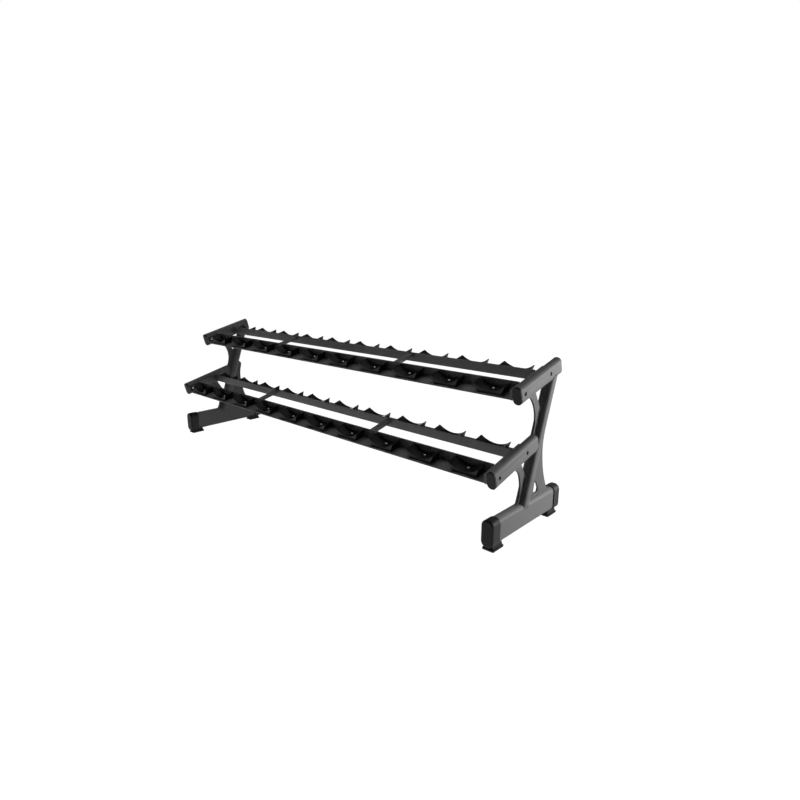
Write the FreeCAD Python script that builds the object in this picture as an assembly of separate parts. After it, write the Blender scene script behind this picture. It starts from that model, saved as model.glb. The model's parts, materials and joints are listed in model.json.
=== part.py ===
"""Two-tier dumbbell rack: two leaning end frames joined by four angle rails with moulded saddles.

X runs along the rack, Y from front to back and Z up. The origin is on the floor, in the middle.
The right end frame is modelled, and the left one is its mirror image.
Each tier has its own axes, tilted down to the front: x along the rack, y along the arm, z across it.
"""

import FreeCAD
import Part

import math
import os

from FreeCAD import Vector

# End frames, in millimetres
FRAME_CENTRE_X = 1177.5
TUBE_WIDTH = 51.0
TUBE_CORNER = 22.0
WALL = 3.0
PLATE = 8.0

# Foot
FOOT_HEIGHT = 109.0
FOOT_CENTRE_Z = 74.0
FOOT_TUBE_FRONT = -223.0
FOOT_TUBE_REAR = 231.0
FOOT_CAP_LAP = 8.0
FOOT_CAP_WALL = 3.5
FOOT_CAP_FRONT = -269.0
PAD_CENTRES = {"front": -220.0, "rear": 216.0}
PAD_LENGTH = 77.0
PAD_WIDTH = 54.0
PAD_SLAB = 8.0
PAD_HEIGHT = 30.0

# Column: its centre line passes through (COLUMN_Y, COLUMN_Z) and leans back
COLUMN_LEAN = 19.3
COLUMN_Y = 122.0
COLUMN_Z = 500.0
COLUMN_DEPTH = 55.0
COLUMN_CORNER = 22.0

# Arms and tiers: each tier is centred on the gap between its rails
ARM_TILT = 14.5
ARM_WIDTH = 40.0
ARM_DEPTH = 76.0
ARM_CORNER = 19.0
TIER_CENTRES = {"upper": (32.0, 635.0), "lower": (-128.0, 330.5)}
ARM_TUBE_FRONT = -130.0
ARM_CAP_FRONT = -140.0
ARM_TUBE_REAR = 188.0
ARM_CAP_REAR = 191.0
ARM_CAP_ROUNDING = 3.0
CAP_PLUG = 14.0
CAP_PLUG_WALL = 3.0
BOLT_PLACES = (-105.0, 100.0)

# Rails: angles with their upright legs facing each other
GAP_HALF = 60.0
RAIL_THICKNESS = 5.0
RAIL_OUTER = 134.0
RAIL_TOP = 26.0
RAIL_BOTTOM = -22.0
END_PLATE = 12.0
END_PLATE_FRONT = -137.0
END_PLATE_REAR = 120.0
END_PLATE_TOP = 22.0

# Cross bars between the rails, midway between two positions
CROSS_BAR_PITCHES = 2
CROSS_BAR_WIDTH = 32.0
CROSS_BAR_TOP = 20.0
CROSS_BAR_HEIGHT = 14.0

# Saddles
POSITIONS = 10
PITCH = 231.0
SADDLE_WIDTH = 152.0
SADDLE_FOOT = 114.0
SADDLE_INNER = 66.0
SADDLE_OUTER = 122.0
HORN_TOP = 19.5
BOWL_RADIUS = 112.0
BOWL_BOTTOM = -6.0

# Fasteners
SCREW_LINE = 88.0
SCREW_RADIUS = 4.0
SCREW_HOLE_RADIUS = 4.5
SCREW_HEAD_RADIUS = 9.0
SCREW_SEAT = -8.0
NUT_ACROSS_CORNERS = 15.0
NUT_HEIGHT = 7.0
SLEEVE_RADIUS = 10.0
SLEEVE_BORE = 5.25
SLEEVE_MOUTH = 8.0
SLEEVE_MOUTH_DEPTH = 12.0
BOLT_RADIUS = 5.0
BOLT_HEAD_RADIUS = 10.0

# Worked-out places
ARM_OUTER_X = FRAME_CENTRE_X + TUBE_WIDTH / 2
ARM_CENTRE_X = ARM_OUTER_X - ARM_WIDTH / 2
ARM_INNER_X = ARM_OUTER_X - ARM_WIDTH
RAIL_HALF = ARM_INNER_X - END_PLATE
RAIL_SEAT = RAIL_BOTTOM + RAIL_THICKNESS
TILT = math.radians(ARM_TILT)
TIP_ALONG = ARM_CAP_FRONT + ARM_CAP_ROUNDING
TIP_ACROSS = ARM_DEPTH / 2 - ARM_CAP_ROUNDING
ARM_TIP_Y = (
    TIER_CENTRES["lower"][0] + TIP_ALONG * math.cos(TILT) - TIP_ACROSS * math.sin(TILT) - ARM_CAP_ROUNDING
)
FOOT_CAP_REAR = -ARM_TIP_Y

parts = {}


def rounded_outline(width, height, corner):
    """Closed rounded rectangle in the XZ plane, centred on the origin."""
    arcs = []
    for number, (side_x, side_z) in enumerate([(1, 1), (-1, 1), (-1, -1), (1, -1)]):
        centre = Vector(side_x * (width / 2 - corner), 0, side_z * (height / 2 - corner))
        angles = [math.radians(90 * number + turn) for turn in (0, 45, 90)]
        points = [centre + Vector(corner * math.cos(a), 0, corner * math.sin(a)) for a in angles]
        arcs.append(Part.Arc(*points).toShape())
    edges = []
    for number, arc in enumerate(arcs):
        following = arcs[(number + 1) % 4]
        edges.append(arc)
        edges.append(Part.makeLine(arc.Vertexes[-1].Point, following.Vertexes[0].Point))
    return Part.Wire(edges)


def rounded_bar(width, height, corner, start, end):
    """Solid bar along Y with a rounded rectangular section."""
    bar = Part.Face(rounded_outline(width, height, corner)).extrude(Vector(0, end - start, 0))
    bar.translate(Vector(0, start, 0))
    return bar


def box(x_range, y_range, z_range):
    size = [high - low for low, high in (x_range, y_range, z_range)]
    return Part.makeBox(*size, Vector(x_range[0], y_range[0], z_range[0]))


def cylinder(radius, start, direction):
    return Part.makeCylinder(radius, direction.Length, start, direction)


def plate_from(outline, front_x, thickness):
    """Flat plate parallel to the YZ plane, from a closed wire drawn at X = 0."""
    plate = Part.Face(outline).extrude(Vector(thickness, 0, 0))
    plate.translate(Vector(front_x, 0, 0))
    return plate


def on_tier(shape, tier):
    """Move a shape from the tier's own axes to the rack's axes."""
    placed = shape.copy()
    placed.rotate(Vector(0, 0, 0), Vector(1, 0, 0), ARM_TILT)
    placed.translate(Vector(0, *TIER_CENTRES[tier]))
    return placed


def mirrored(shape):
    return shape.mirror(Vector(0, 0, 0), Vector(1, 0, 0))


def add(name, *solids):
    parts[name] = solids[0] if len(solids) == 1 else Part.makeCompound(list(solids))


def add_both_sides(name, shape):
    add(name + "_right", shape)
    add(name + "_left", mirrored(shape))


def yz_points(pairs):
    return [Vector(0, y, z) for y, z in pairs]


def curve(pairs):
    spline = Part.BSplineCurve()
    spline.interpolate(yz_points(pairs))
    return spline.toShape()


def strut_outline(outer, corners, inner):
    """Closed outline of a strut: its outer curve, straight lines through the corners, its inner curve."""
    stops = yz_points([outer[-1], *corners, inner[0]])
    lines = [Part.makeLine(start, end) for start, end in zip(stops, stops[1:])]
    closing = Part.makeLine(*yz_points([inner[-1], outer[0]]))
    return Part.Wire([curve(outer), *lines, curve(inner), closing])


def foot_bar(inset):
    """Bar along the foot tube, this far inside its outer face."""
    bar = rounded_bar(
        TUBE_WIDTH - 2 * inset, FOOT_HEIGHT - 2 * inset, TUBE_CORNER - inset, FOOT_TUBE_FRONT, FOOT_TUBE_REAR
    )
    bar.translate(Vector(FRAME_CENTRE_X, 0, FOOT_CENTRE_Z))
    return bar


def arm_bar(inset, start, end):
    """Bar along the right arm in its tier's own axes, this far inside the tube's outer face."""
    bar = rounded_bar(ARM_WIDTH - 2 * inset, ARM_DEPTH - 2 * inset, ARM_CORNER - inset, start, end)
    bar.translate(Vector(ARM_CENTRE_X, 0, 0))
    return bar


def column_bar(inset):
    """Bar along the leaning column, from the foot's centre line to the upper arm's."""
    lean = math.radians(COLUMN_LEAN)
    below = (COLUMN_Z - FOOT_CENTRE_Z) / math.cos(lean)
    above = (TIER_CENTRES["upper"][1] - COLUMN_Z) / math.cos(lean) + 15
    bar = rounded_bar(
        TUBE_WIDTH - 2 * inset, COLUMN_DEPTH - 2 * inset, COLUMN_CORNER - inset, -below, above
    )
    bar.rotate(Vector(0, 0, 0), Vector(1, 0, 0), 90 - COLUMN_LEAN)
    bar.translate(Vector(FRAME_CENTRE_X, COLUMN_Y, COLUMN_Z))
    return bar


def largest_solid(shape):
    return max(shape.Solids, key=lambda solid: solid.Volume)


def build_tubes(foot, arms, column):
    """Foot, column and arms as hollow tubes, coped where they meet."""
    add_both_sides("foot_tube", foot.cut(foot_bar(WALL)))

    beside_arm = box(
        (ARM_INNER_X - TUBE_WIDTH, ARM_OUTER_X), (-RAIL_OUTER, ARM_TUBE_REAR),
        (ARM_CORNER - ARM_DEPTH / 2, ARM_DEPTH),
    )
    column_tube = column.cut(column_bar(WALL)).cut(foot).cut(arms["upper"])
    add_both_sides("column", largest_solid(column_tube.cut(on_tier(beside_arm, "upper"))))

    for tier, arm in arms.items():
        tube = arm.cut(on_tier(arm_bar(WALL, ARM_TUBE_FRONT, ARM_TUBE_REAR), tier))
        for place in BOLT_PLACES:
            hole = cylinder(SLEEVE_RADIUS, Vector(ARM_INNER_X, place, 0), Vector(ARM_WIDTH, 0, 0))
            tube = tube.cut(on_tier(hole, tier))
        if tier == "lower":
            tube = max(tube.cut(column).Solids, key=lambda solid: -solid.CenterOfMass.y)
        add_both_sides(tier + "_arm", tube)


def build_gussets(foot, arms, column):
    """Three curved plates in the middle plane of each end frame."""
    plate_x = FRAME_CENTRE_X - PLATE / 2
    upper = strut_outline(
        [(-22, 592), (4, 578), (36, 543), (53, 502), (56, 472), (46, 423), (34, 396)],
        [(94, 396)],
        [(117, 480), (69, 554), (41, 606)],
    )
    lower = strut_outline(
        [(-116, 304), (-88, 293), (-57, 270), (-42, 238), (-36, 187), (-48, 143), (-64, 112)],
        [(-11, 112)],
        [(22, 214), (-16, 268), (-46, 318)],
    )
    rear = strut_outline(
        [(100, 434), (136, 430), (146, 416), (143, 392), (135, 325), (143, 259), (158, 203),
         (183, 147), (200, 112)],
        [],
        [(-17, 112), (102, 430)],
    )
    window = Part.makePolygon(yz_points([(72, 139), (109, 139), (113, 156), (94, 193), (80, 188), (72, 139)]))
    plates = {
        "upper_gusset": plate_from(upper, plate_x, PLATE),
        "lower_gusset": plate_from(lower, plate_x, PLATE),
        "rear_gusset": plate_from(rear, plate_x, PLATE).cut(plate_from(window, plate_x, PLATE)),
    }
    for name, plate in plates.items():
        for neighbour in (column, foot, arms["upper"], arms["lower"]):
            plate = plate.cut(neighbour)
        add_both_sides(name, largest_solid(plate))


def outer_end_edges(shape, y):
    """Edges that lie in the plane Y = y."""
    return [e for e in shape.Edges if all(abs(v.Point.y - y) < 0.01 for v in e.Vertexes)]


def build_feet():
    """Moulded caps over the ends of each foot, and the flared rubber pads under them."""
    cap_width = TUBE_WIDTH + 2 * FOOT_CAP_WALL
    cap_height = FOOT_HEIGHT + 2 * FOOT_CAP_WALL
    cap_corner = TUBE_CORNER + FOOT_CAP_WALL
    places = {
        "front": (FOOT_CAP_FRONT, FOOT_TUBE_FRONT + FOOT_CAP_LAP, FOOT_TUBE_FRONT),
        "rear": (FOOT_CAP_REAR, FOOT_TUBE_REAR - FOOT_CAP_LAP, FOOT_TUBE_REAR),
    }
    for end, (face_y, mouth_y, tube_end) in places.items():
        shell = rounded_bar(cap_width, cap_height, cap_corner, min(face_y, mouth_y), max(face_y, mouth_y))
        shell = shell.makeFillet(8.0, outer_end_edges(shell, face_y))
        pocket = rounded_bar(
            TUBE_WIDTH, FOOT_HEIGHT, TUBE_CORNER, min(tube_end, mouth_y), max(tube_end, mouth_y)
        )
        inward = math.copysign(FOOT_CAP_WALL, -face_y)
        hollow_end = face_y + inward
        hollow = rounded_bar(
            TUBE_WIDTH - 8, FOOT_HEIGHT - 8, TUBE_CORNER - 4,
            min(hollow_end, tube_end), max(hollow_end, tube_end),
        )
        place = Vector(FRAME_CENTRE_X, 0, FOOT_CENTRE_Z)
        outer = shell.copy()
        outer.translate(place)
        cap = shell.cut(pocket).cut(hollow)
        cap.translate(place)
        add_both_sides("foot_cap_" + end, cap)
        add_both_sides("foot_pad_" + end, foot_pad(PAD_CENTRES[end]).cut(outer))


def foot_pad(centre_y):
    """Rubber pad: a slab on the floor with sloping sides above it."""
    slab = box(
        (FRAME_CENTRE_X - PAD_WIDTH / 2, FRAME_CENTRE_X + PAD_WIDTH / 2),
        (centre_y - PAD_LENGTH / 2, centre_y + PAD_LENGTH / 2), (0, PAD_SLAB),
    )
    slab = slab.makeFillet(4.0, [e for e in slab.Edges if abs(e.tangentAt(e.FirstParameter).z) > 0.9])
    base = level_rectangle(PAD_WIDTH - 8, PAD_LENGTH - 8, centre_y, PAD_SLAB)
    top = level_rectangle(PAD_WIDTH - 14, PAD_LENGTH - 20, centre_y, PAD_HEIGHT)
    return slab.fuse(Part.makeLoft([base, top], True)).removeSplitter()


def level_rectangle(width, length, centre_y, z):
    corners = [(-1, -1), (1, -1), (1, 1), (-1, 1), (-1, -1)]
    return Part.makePolygon([
        Vector(FRAME_CENTRE_X + sx * width / 2, centre_y + sy * length / 2, z) for sx, sy in corners
    ])


def arm_cap(face, seat, plug_end):
    """Plug for the end of an arm: a flange outside the tube and a hollow plug inside it."""
    flange = arm_bar(0, min(face, seat), max(face, seat))
    rounding = min(ARM_CAP_ROUNDING, abs(face - seat) * 0.6)
    flange = flange.makeFillet(rounding, outer_end_edges(flange, face))
    start, end = min(seat, plug_end), max(seat, plug_end)
    plug = arm_bar(WALL, start, end).cut(arm_bar(WALL + CAP_PLUG_WALL, start, end))
    return flange.fuse(plug).removeSplitter()


def build_arm_caps():
    front = arm_cap(ARM_CAP_FRONT, ARM_TUBE_FRONT, ARM_TUBE_FRONT + CAP_PLUG)
    rear = arm_cap(ARM_CAP_REAR, ARM_TUBE_REAR, ARM_TUBE_REAR - CAP_PLUG)
    caps = [on_tier(front, "upper"), on_tier(front, "lower"), on_tier(rear, "upper")]
    add("arm_caps_right", *caps)
    add("arm_caps_left", *[mirrored(cap) for cap in caps])


def build_rail(side):
    """Angle rail on the front (-1) or the rear (+1) of a tier, with a hole under each saddle."""
    outline = Part.makePolygon([
        Vector(-RAIL_HALF, side * y, z) for y, z in (
            (GAP_HALF, RAIL_TOP), (GAP_HALF, RAIL_BOTTOM), (RAIL_OUTER, RAIL_BOTTOM),
            (RAIL_OUTER, RAIL_SEAT), (GAP_HALF + RAIL_THICKNESS, RAIL_SEAT),
            (GAP_HALF + RAIL_THICKNESS, RAIL_TOP), (GAP_HALF, RAIL_TOP),
        )
    ])
    rail = Part.Face(outline).extrude(Vector(2 * RAIL_HALF, 0, 0))
    bend = [
        e for e in rail.Edges
        if all(abs(v.Point.y - side * GAP_HALF) < 0.01 and abs(v.Point.z - RAIL_BOTTOM) < 0.01
               for v in e.Vertexes)
    ]
    rail = rail.makeFillet(4.0, bend)
    for x in position_centres():
        start = Vector(x, side * SCREW_LINE, RAIL_BOTTOM)
        rail = rail.cut(cylinder(SCREW_HOLE_RADIUS, start, Vector(0, 0, RAIL_THICKNESS)))
    return rail


def position_centres():
    return [(number - (POSITIONS - 1) / 2) * PITCH for number in range(POSITIONS)]


def saddle():
    """Moulded block, wider at the top, with a round bowl between two horns, for the front rail at X = 0."""
    bowl_centre = BOWL_BOTTOM + BOWL_RADIUS
    outline = Part.makePolygon([
        Vector(x, -SADDLE_OUTER, z) for x, z in (
            (-SADDLE_FOOT / 2, RAIL_SEAT), (SADDLE_FOOT / 2, RAIL_SEAT), (SADDLE_WIDTH / 2, HORN_TOP),
            (-SADDLE_WIDTH / 2, HORN_TOP), (-SADDLE_FOOT / 2, RAIL_SEAT),
        )
    ])
    block = Part.Face(outline).extrude(Vector(0, SADDLE_OUTER - SADDLE_INNER, 0))
    bowl = cylinder(
        BOWL_RADIUS, Vector(0, -SADDLE_OUTER - 1, bowl_centre),
        Vector(0, SADDLE_OUTER - SADDLE_INNER + 2, 0),
    )
    block = block.cut(bowl)
    at_screw = Vector(0, -SCREW_LINE, 0)
    recess = cylinder(SCREW_HEAD_RADIUS + 2, at_screw + Vector(0, 0, SCREW_SEAT), Vector(0, 0, 10))
    hole = cylinder(SCREW_HOLE_RADIUS, at_screw + Vector(0, 0, RAIL_SEAT), Vector(0, 0, 20))
    return block.cut(recess).cut(hole)


def domed_head(radius, height):
    """Button head standing on Z = 0, with a hexagonal socket."""
    dome_radius = (radius ** 2 + height ** 2) / (2 * height)
    dome = Part.makeSphere(dome_radius, Vector(0, 0, height - dome_radius))
    head = cylinder(radius, Vector(0, 0, 0), Vector(0, 0, height)).common(dome)
    return head.cut(hexagon(radius * 0.62, height - 2.2, height + 1))


def hexagon(across_corners, bottom, top):
    """Upright six-sided prism."""
    radius = across_corners / 2
    corners = [
        Vector(radius * math.cos(math.radians(60 * n)), radius * math.sin(math.radians(60 * n)), bottom)
        for n in range(7)
    ]
    return Part.Face(Part.makePolygon(corners)).extrude(Vector(0, 0, top - bottom))


def saddle_screw():
    """Button-head screw down through the front saddle and rail at X = 0."""
    head = domed_head(SCREW_HEAD_RADIUS, 4.5)
    shank = cylinder(SCREW_RADIUS, Vector(0, 0, 0), Vector(0, 0, RAIL_BOTTOM - NUT_HEIGHT - 3 - SCREW_SEAT))
    screw = head.fuse(shank)
    screw.translate(Vector(0, -SCREW_LINE, SCREW_SEAT))
    return screw


def saddle_nut():
    """Nut under the front rail at X = 0."""
    nut = hexagon(NUT_ACROSS_CORNERS, -NUT_HEIGHT, 0)
    nut = nut.cut(cylinder(SCREW_RADIUS, Vector(0, 0, -NUT_HEIGHT), Vector(0, 0, NUT_HEIGHT)))
    nut.translate(Vector(0, -SCREW_LINE, RAIL_BOTTOM))
    return nut


def at_position(shape, x, side, tier):
    """Copy a front-rail piece to a position along the rack, on the front or rear rail of a tier."""
    piece = shape.copy() if side < 0 else shape.mirror(Vector(0, 0, 0), Vector(0, 1, 0))
    piece.translate(Vector(x, 0, 0))
    return on_tier(piece, tier)


def build_tier(tier):
    """Rails, end plates and cross bars of one tier."""
    add(tier + "_front_rail", on_tier(build_rail(-1), tier))
    add(tier + "_rear_rail", on_tier(build_rail(1), tier))

    plate = box(
        (RAIL_HALF, ARM_INNER_X), (END_PLATE_FRONT, END_PLATE_REAR), (RAIL_BOTTOM, END_PLATE_TOP)
    )
    for place in BOLT_PLACES:
        plate = plate.cut(cylinder(SLEEVE_BORE, Vector(RAIL_HALF, place, 0), Vector(END_PLATE, 0, 0)))
    add_both_sides(tier + "_end_plate", on_tier(plate, tier))

    bar_x = CROSS_BAR_PITCHES * PITCH
    bar = box(
        (bar_x - CROSS_BAR_WIDTH / 2, bar_x + CROSS_BAR_WIDTH / 2), (-GAP_HALF, GAP_HALF),
        (CROSS_BAR_TOP - CROSS_BAR_HEIGHT, CROSS_BAR_TOP),
    )
    bar = on_tier(bar, tier)
    add(tier + "_cross_bars", bar, mirrored(bar))


def build_saddles():
    """A front and a rear saddle for each dumbbell, with all their screws and nuts."""
    screws = []
    nuts = []
    for tier in TIER_CENTRES:
        for number, x in enumerate(position_centres(), start=1):
            pair = [at_position(saddle(), x, side, tier) for side in (-1, 1)]
            add(f"saddles_{tier}_{number:02d}", *pair)
            screws += [at_position(saddle_screw(), x, side, tier) for side in (-1, 1)]
            nuts += [at_position(saddle_nut(), x, side, tier) for side in (-1, 1)]
    add("saddle_screws", *screws)
    add("saddle_nuts", *nuts)


def build_arm_bolts():
    """Crush sleeves through the arms, and the bolts that clamp the end plates to them."""
    start = Vector(ARM_INNER_X, 0, 0)
    along = Vector(ARM_WIDTH, 0, 0)
    sleeve = cylinder(SLEEVE_RADIUS, start, along).cut(cylinder(SLEEVE_BORE, start, along))
    mouth_start = Vector(ARM_OUTER_X - SLEEVE_MOUTH_DEPTH, 0, 0)
    sleeve = sleeve.cut(cylinder(SLEEVE_MOUTH, mouth_start, Vector(SLEEVE_MOUTH_DEPTH, 0, 0)))

    bolt = domed_head(BOLT_HEAD_RADIUS, 6.0)
    bolt = bolt.fuse(cylinder(BOLT_RADIUS, Vector(0, 0, 0), Vector(0, 0, -END_PLATE - ARM_WIDTH + 10)))
    bolt.rotate(Vector(0, 0, 0), Vector(0, 1, 0), -90)
    bolt.translate(Vector(RAIL_HALF, 0, 0))

    sleeves = []
    bolts = []
    for tier in TIER_CENTRES:
        for place in BOLT_PLACES:
            for piece, group in ((sleeve, sleeves), (bolt, bolts)):
                placed = piece.copy()
                placed.translate(Vector(0, place, 0))
                placed = on_tier(placed, tier)
                group += [placed, mirrored(placed)]
    add("arm_sleeves", *sleeves)
    add("arm_bolts", *bolts)


def build():
    foot = foot_bar(0)
    arms = {tier: on_tier(arm_bar(0, ARM_TUBE_FRONT, ARM_TUBE_REAR), tier) for tier in TIER_CENTRES}
    column = column_bar(0)
    build_tubes(foot, arms, column)
    build_gussets(foot, arms, column)
    build_feet()
    build_arm_caps()
    for tier in TIER_CENTRES:
        build_tier(tier)
    build_saddles()
    build_arm_bolts()


def export():
    os.makedirs("parts", exist_ok=True)
    for name, shape in sorted(parts.items()):
        if not shape.isValid():
            raise ValueError(name + " is not a valid shape")
        shape.exportStep("parts/" + name + ".step")


build()
export()
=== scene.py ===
"""Looks of the two-tier dumbbell rack: materials, rounded edges, weld beads, studio and camera.

The tubes, caps, pads and fasteners keep their CAD meshes and only get a material. The rails, end
plates, cross bars, gussets and saddles are replaced by copies with rounded edges.
"""

import json
import math

import bmesh
import bpy
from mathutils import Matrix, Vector
from mathutils.bvhtree import BVHTree


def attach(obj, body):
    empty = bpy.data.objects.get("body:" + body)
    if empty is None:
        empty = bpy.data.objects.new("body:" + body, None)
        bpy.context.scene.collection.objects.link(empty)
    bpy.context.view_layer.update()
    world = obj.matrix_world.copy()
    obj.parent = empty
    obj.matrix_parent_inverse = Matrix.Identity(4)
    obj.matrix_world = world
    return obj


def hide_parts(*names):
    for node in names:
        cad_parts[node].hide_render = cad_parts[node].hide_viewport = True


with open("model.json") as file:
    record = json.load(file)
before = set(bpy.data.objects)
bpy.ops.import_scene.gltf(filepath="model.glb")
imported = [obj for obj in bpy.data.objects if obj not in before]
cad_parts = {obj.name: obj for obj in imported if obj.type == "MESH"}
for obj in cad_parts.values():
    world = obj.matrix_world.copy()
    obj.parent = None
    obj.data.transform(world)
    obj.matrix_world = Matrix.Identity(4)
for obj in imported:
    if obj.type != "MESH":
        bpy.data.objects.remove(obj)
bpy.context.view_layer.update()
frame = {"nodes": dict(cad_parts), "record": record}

MM = 0.001
NODES = sorted(frame["nodes"])

# Camera, in metres, radians and millimetres of lens
CAMERA_PLACE = (2.3111, -2.0022, 1.1215)
CAMERA_HEADING = math.radians(42.59)
CAMERA_DROP = math.radians(13.87)
CAMERA_LENS = 25.7

# Edge rounding
STEEL_EDGE = 0.8 * MM
PLASTIC_EDGE = 1.0 * MM
SHARP_STEEL = ("_rail", "_end_plate_", "_cross_bars", "gusset")
FLAT_ANGLE = math.radians(1)
ROUNDED_ANGLE = math.radians(35)

# Weld beads: ripples along each sharp edge of a piece that lies on the surface of a neighbour
SAME_POINT = 0.01 * MM
SHARP_ANGLE = math.radians(25)
BEAD_REACH = 0.6 * MM
BEAD_RADIUS = 2.2 * MM
BEAD_VALLEY = 0.8
BEAD_PITCH = 3.0 * MM
BEAD_SIDES = 6

# Key light: the place and target of the right-hand one, which the left-hand one mirrors
KEY_PLACE = (2.42, 1.75, 0.6)
KEY_TARGET = (1.15, -0.05, 0.32)
KEY_SIZE = (0.9, 0.9)
KEY_POWER = 5.3
KEY_SPREAD = math.radians(60)


# ---------------------------------------------------------------- materials

def new_material(name):
    """Node material that holds only a Principled shader, and that shader."""
    material = bpy.data.materials.new(name)
    material.use_nodes = True
    nodes = material.node_tree.nodes
    nodes.clear()
    output = nodes.new("ShaderNodeOutputMaterial")
    shader = nodes.new("ShaderNodeBsdfPrincipled")
    material.node_tree.links.new(shader.outputs["BSDF"], output.inputs["Surface"])
    return material, shader


def add_noise(material, scale, detail=4.0, roughness=0.55, stretch=(1, 1, 1)):
    """Noise over the object's own coordinates, which are metres."""
    nodes = material.node_tree.nodes
    links = material.node_tree.links
    place = nodes.new("ShaderNodeTexCoord")
    mapping = nodes.new("ShaderNodeMapping")
    mapping.inputs["Scale"].default_value = stretch
    noise = nodes.new("ShaderNodeTexNoise")
    noise.inputs["Scale"].default_value = scale
    noise.inputs["Detail"].default_value = detail
    noise.inputs["Roughness"].default_value = roughness
    links.new(place.outputs["Object"], mapping.inputs["Vector"])
    links.new(mapping.outputs["Vector"], noise.inputs["Vector"])
    return noise.outputs["Fac"]


def add_ramp(material, value, stops):
    """Colour ramp over a value. Each stop is (position, colour)."""
    ramp = material.node_tree.nodes.new("ShaderNodeValToRGB")
    elements = ramp.color_ramp.elements
    while len(elements) < len(stops):
        elements.new(0.5)
    for element, (position, colour) in zip(elements, stops):
        element.position = position
        element.color = (*colour, 1)
    material.node_tree.links.new(value, ramp.inputs["Fac"])
    return ramp.outputs["Color"]


def add_range(material, value, low, high):
    """A value between 0 and 1, stretched to run from low to high."""
    node = material.node_tree.nodes.new("ShaderNodeMapRange")
    node.inputs["To Min"].default_value = low
    node.inputs["To Max"].default_value = high
    material.node_tree.links.new(value, node.inputs["Value"])
    return node.outputs["Result"]


def add_mix(material, factor, first, second):
    """Mix of two colours by a factor socket."""
    mix = material.node_tree.nodes.new("ShaderNodeMix")
    mix.data_type = "RGBA"
    links = material.node_tree.links
    links.new(factor, mix.inputs["Factor"])
    for colour, socket in ((first, mix.inputs[6]), (second, mix.inputs[7])):
        if isinstance(colour, bpy.types.NodeSocket):
            links.new(colour, socket)
        else:
            socket.default_value = (*colour, 1)
    return mix.outputs[2]


def add_bump(material, shader, height, strength, distance, normal=None):
    """Bumps from a height, over any earlier bumps, put on the shader."""
    bump = material.node_tree.nodes.new("ShaderNodeBump")
    bump.inputs["Strength"].default_value = strength
    bump.inputs["Distance"].default_value = distance
    links = material.node_tree.links
    links.new(height, bump.inputs["Height"])
    if normal is not None:
        links.new(normal, bump.inputs["Normal"])
    links.new(bump.outputs["Normal"], shader.inputs["Normal"])
    return bump.outputs["Normal"]


def grey(value):
    """A grey that is very slightly blue."""
    return (value, value, value * 1.02)


def edge_mask(material, start, end):
    """1 on outer edges and 0 on flat faces, from the mesh's pointiness."""
    geometry = material.node_tree.nodes.new("ShaderNodeNewGeometry")
    node = material.node_tree.nodes.new("ShaderNodeMapRange")
    node.inputs["From Min"].default_value = start
    node.inputs["From Max"].default_value = end
    material.node_tree.links.new(geometry.outputs["Pointiness"], node.inputs["Value"])
    return node.outputs["Result"]


def painted_steel(name, dark, light, worn, specular, roughness):
    """Satin powder coat: faint cloudiness, orange peel, fine speckle and edges rubbed lighter."""
    material, shader = new_material(name)
    links = material.node_tree.links
    cloud = add_ramp(material, add_noise(material, 7), [(0.35, grey(dark)), (0.7, grey(light))])
    speckle = add_noise(material, 900, detail=2)
    flecks = add_range(material, speckle, 0.0, 0.35)
    speckled = add_mix(material, flecks, cloud, grey(light * 1.25))
    edges = add_mix(material, edge_mask(material, 0.54, 0.62), speckled, grey(worn))
    links.new(edges, shader.inputs["Base Color"])
    links.new(add_range(material, add_noise(material, 24), roughness - 0.06, roughness + 0.08),
              shader.inputs["Roughness"])
    shader.inputs["Specular IOR Level"].default_value = specular
    peel = add_bump(material, shader, add_noise(material, 420, detail=2), 0.10, 0.2 * MM)
    add_bump(material, shader, speckle, 0.08, 0.1 * MM, peel)
    return material


def moulded_plastic(name, dark, light, roughness, grain_scale, grain):
    """Black moulding: fine leather-like grain, rubbed lighter on its edges and high spots."""
    material, shader = new_material(name)
    links = material.node_tree.links
    cloud = add_ramp(material, add_noise(material, 11), [(0.3, grey(dark)), (0.75, grey(light))])
    scuffs = add_noise(material, 60, detail=6, roughness=0.7, stretch=(0.25, 1, 1))
    scuffed = add_mix(material, add_range(material, scuffs, -0.25, 0.35), cloud, grey(light * 2.2))
    edges = add_mix(material, edge_mask(material, 0.53, 0.66), scuffed, grey(light * 2.6))
    links.new(edges, shader.inputs["Base Color"])
    links.new(add_range(material, scuffs, roughness - 0.08, roughness + 0.12), shader.inputs["Roughness"])
    cells = material.node_tree.nodes.new("ShaderNodeTexVoronoi")
    cells.inputs["Scale"].default_value = grain_scale
    place = material.node_tree.nodes.new("ShaderNodeTexCoord")
    links.new(place.outputs["Object"], cells.inputs["Vector"])
    add_bump(material, shader, cells.outputs["Distance"], grain, 0.25 * MM)
    shader.inputs["Specular IOR Level"].default_value = 0.22
    return material


def zinc_plate(name, tint, roughness):
    """Plated steel: bright metal with faint drawing marks and duller patches."""
    material, shader = new_material(name)
    links = material.node_tree.links
    marks = add_noise(material, 260, detail=5, stretch=(1, 1, 6))
    colour = add_ramp(material, marks, [(0.3, grey(tint * 0.8)), (0.7, grey(tint))])
    links.new(colour, shader.inputs["Base Color"])
    links.new(add_range(material, add_noise(material, 90), roughness - 0.08, roughness + 0.1),
              shader.inputs["Roughness"])
    shader.inputs["Metallic"].default_value = 1.0
    add_bump(material, shader, marks, 0.12, 0.1 * MM)
    return material


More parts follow.
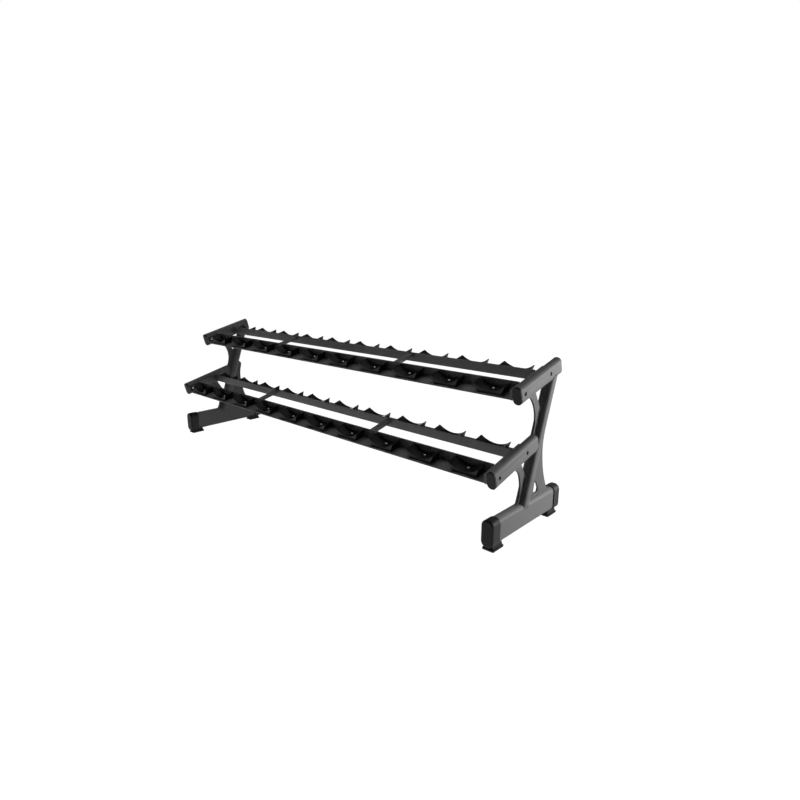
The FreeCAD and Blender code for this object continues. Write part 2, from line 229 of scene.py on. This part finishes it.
def rubber(name):
    """Dull black rubber with a dusty, slightly mottled surface."""
    material, shader = new_material(name)
    links = material.node_tree.links
    dust = add_ramp(material, add_noise(material, 35, detail=7), [(0.35, grey(0.012)), (0.8, grey(0.035))])
    links.new(dust, shader.inputs["Base Color"])
    links.new(add_range(material, add_noise(material, 80), 0.62, 0.85), shader.inputs["Roughness"])
    shader.inputs["Specular IOR Level"].default_value = 0.35
    add_bump(material, shader, add_noise(material, 700, detail=3), 0.2, 0.2 * MM)
    return material


MATERIALS = {
    "frame_paint": painted_steel(
        "frame_paint", dark=0.21, light=0.25, worn=0.34, specular=0.15, roughness=0.50
    ),
    "rail_paint": painted_steel(
        "rail_paint", dark=0.28, light=0.33, worn=0.42, specular=0.40, roughness=0.45
    ),
    "saddle_plastic": moulded_plastic(
        "saddle_plastic", dark=0.006, light=0.010, roughness=0.42, grain_scale=1500, grain=0.25
    ),
    "cap_plastic": moulded_plastic(
        "cap_plastic", dark=0.013, light=0.019, roughness=0.52, grain_scale=1100, grain=0.18
    ),
    "pad_rubber": rubber("pad_rubber"),
    "bright_steel": zinc_plate("bright_steel", tint=0.85, roughness=0.26),
    "dark_steel": zinc_plate("dark_steel", tint=0.42, roughness=0.36),
}
SLOTS = {part["node"]: part["material_slot"] for part in frame["record"]["subparts"]}


def paint(piece, slot):
    """Give an object the one material of its slot."""
    piece.data.materials.clear()
    piece.data.materials.append(MATERIALS[slot])


# ---------------------------------------------------------------- pieces

def add_piece(name, mesh, slot, *replaced):
    """A new visible piece that rides on the rack's one body and stands for any CAD nodes named."""
    piece = bpy.data.objects.new(name, mesh)
    bpy.context.collection.objects.link(piece)
    paint(piece, slot)
    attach(piece, "root")
    if replaced:
        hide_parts(*replaced)
    return piece


def soften(node, width, segments=2):
    """Copy of a CAD node with its hard edges rounded."""
    source = frame["nodes"][node]
    mesh = source.data.copy()
    work = bmesh.new()
    work.from_mesh(mesh)
    bmesh.ops.remove_doubles(work, verts=work.verts, dist=SAME_POINT)
    bmesh.ops.dissolve_limit(work, angle_limit=FLAT_ANGLE, verts=work.verts, edges=work.edges)
    work.to_mesh(mesh)
    work.free()
    piece = add_piece(node + "_finish", mesh, SLOTS[node], node)
    bevel = piece.modifiers.new("rounded_edges", "BEVEL")
    bevel.width = width
    bevel.segments = segments
    bevel.limit_method = "ANGLE"
    bevel.angle_limit = ROUNDED_ANGLE
    bevel.harden_normals = True
    return piece


def clean_copy(node):
    """Editable copy of a CAD node's mesh with its shared corners joined."""
    work = bmesh.new()
    work.from_mesh(frame["nodes"][node].data)
    bmesh.ops.remove_doubles(work, verts=work.verts, dist=SAME_POINT)
    return work


def joint_edges(work, neighbour):
    """The sharp edges of a mesh that lie on the neighbour's surface, as pairs of points."""
    surface = BVHTree.FromBMesh(neighbour)
    edges = []
    for edge in work.edges:
        if edge.calc_face_angle(0) < SHARP_ANGLE:
            continue
        start, end = (vertex.co.copy() for vertex in edge.verts)
        points = (start, (start + end) / 2, end)
        if all(surface.find_nearest(point, BEAD_REACH)[0] is not None for point in points):
            edges.append((start, end))
    return edges


def add_bead(work, start, end):
    """One straight run of weld, rippled along its length."""
    along = end - start
    across = along.orthogonal().normalized()
    other = along.normalized().cross(across)
    ripples = max(1, round(along.length / BEAD_PITCH))
    rings = []
    for number in range(2 * ripples + 1):
        radius = BEAD_RADIUS * (1 if number % 2 else BEAD_VALLEY)
        centre = start + along * number / (2 * ripples)
        turns = [2 * math.pi * side / BEAD_SIDES for side in range(BEAD_SIDES)]
        rings.append([
            work.verts.new(centre + radius * (math.cos(turn) * across + math.sin(turn) * other))
            for turn in turns
        ])
    for first, second in zip(rings, rings[1:]):
        for side in range(BEAD_SIDES):
            following = (side + 1) % BEAD_SIDES
            work.faces.new((first[side], first[following], second[following], second[side]))
    work.faces.new(reversed(rings[0]))
    work.faces.new(rings[-1])


def weld(node, *neighbours):
    """Weld beads along the joints of a CAD node with its neighbours."""
    source = clean_copy(node)
    beads = bmesh.new()
    for neighbour in neighbours:
        surface = clean_copy(neighbour)
        for start, end in joint_edges(source, surface):
            add_bead(beads, start, end)
        surface.free()
    mesh = bpy.data.meshes.new(node + "_welds")
    beads.to_mesh(mesh)
    beads.free()
    source.free()
    mesh.shade_smooth()
    add_piece(node + "_welds", mesh, SLOTS[node])


for node in NODES:
    paint(frame["nodes"][node], SLOTS[node])

for node in NODES:
    if any(kind in node for kind in SHARP_STEEL):
        soften(node, STEEL_EDGE)
    if node.startswith("saddles_"):
        soften(node, PLASTIC_EDGE, 3)

for side in ("left", "right"):
    column = "column_" + side
    foot = "foot_tube_" + side
    upper_arm = "upper_arm_" + side
    lower_arm = "lower_arm_" + side
    weld(column, foot, upper_arm)
    weld(lower_arm, column)
    weld("upper_gusset_" + side, upper_arm, column)
    weld("lower_gusset_" + side, lower_arm, column, foot)
    weld("rear_gusset_" + side, column, foot)
for tier in ("upper", "lower"):
    front_rail = tier + "_front_rail"
    rear_rail = tier + "_rear_rail"
    weld(front_rail, tier + "_end_plate_left", tier + "_end_plate_right")
    weld(rear_rail, tier + "_end_plate_left", tier + "_end_plate_right")
    weld(tier + "_cross_bars", front_rail, rear_rail)


# ---------------------------------------------------------------- stage, light and camera

def white_floor():
    """Plain floor that shines white but sheds no diffuse light on the rack."""
    material, shader = new_material("studio_floor")
    tone = add_ramp(material, add_noise(material, 2), [(0.4, grey(0.20)), (0.6, grey(0.22))])
    material.node_tree.links.new(tone, shader.inputs["Base Color"])
    shader.inputs["Roughness"].default_value = 1.0
    shader.inputs["Specular IOR Level"].default_value = 0.0
    shader.inputs["Emission Color"].default_value = (1, 1, 1, 1)
    shader.inputs["Emission Strength"].default_value = 1.0
    bpy.ops.mesh.primitive_plane_add(size=60)
    floor = bpy.context.object
    floor.name = "floor"
    floor.data.materials.append(material)
    floor.visible_diffuse = False


def white_world():
    """White background that sheds no diffuse or glossy light on the rack."""
    world = bpy.data.worlds.new("studio")
    world.use_nodes = True
    world.node_tree.nodes["Background"].inputs["Color"].default_value = (1, 1, 1, 1)
    world.node_tree.nodes["Background"].inputs["Strength"].default_value = 1.0
    world.cycles_visibility.diffuse = False
    world.cycles_visibility.glossy = False
    bpy.context.scene.world = world


def softbox(name, place, target, size, power):
    """Area light that the camera doesn't see, turned to a target."""
    data = bpy.data.lights.new(name, "AREA")
    data.shape = "RECTANGLE"
    data.size, data.size_y = size
    data.energy = power
    light = bpy.data.objects.new(name, data)
    bpy.context.collection.objects.link(light)
    light.location = place
    light.rotation_euler = (Vector(target) - Vector(place)).to_track_quat("-Z", "Y").to_euler()
    light.visible_camera = False
    return data


def studio():
    """Floor, background and five lights."""
    white_floor()
    white_world()
    middle = (0, 0, 0.4)
    for name, side in (("light_right", 1), ("light_left", -1)):
        place, target = ((side * x, y, z) for x, y, z in (KEY_PLACE, KEY_TARGET))
        key = softbox(name, place, target, KEY_SIZE, KEY_POWER)
        key.spread = KEY_SPREAD
    softbox("light_above", (0.0, 0.5, 4.5), middle, (5, 3), 31)
    softbox("light_front", (-1.0, -4.5, 1.5), middle, (4, 2.5), 1.5)
    softbox("light_back", (0.3, 4.8, 1.0), middle, (4, 1.8), 34)


def camera():
    """Camera at the listed place, heading, drop and lens, which were worked out from the rack's own
    straight edges.
    """
    data = bpy.data.cameras.new("camera")
    data.lens = CAMERA_LENS
    view = bpy.data.objects.new("camera", data)
    bpy.context.collection.objects.link(view)
    view.location = CAMERA_PLACE
    view.rotation_euler = (math.pi / 2 - CAMERA_DROP, 0, CAMERA_HEADING)
    bpy.context.scene.camera = view
    bpy.context.scene.view_settings.view_transform = "Standard"


studio()
camera()
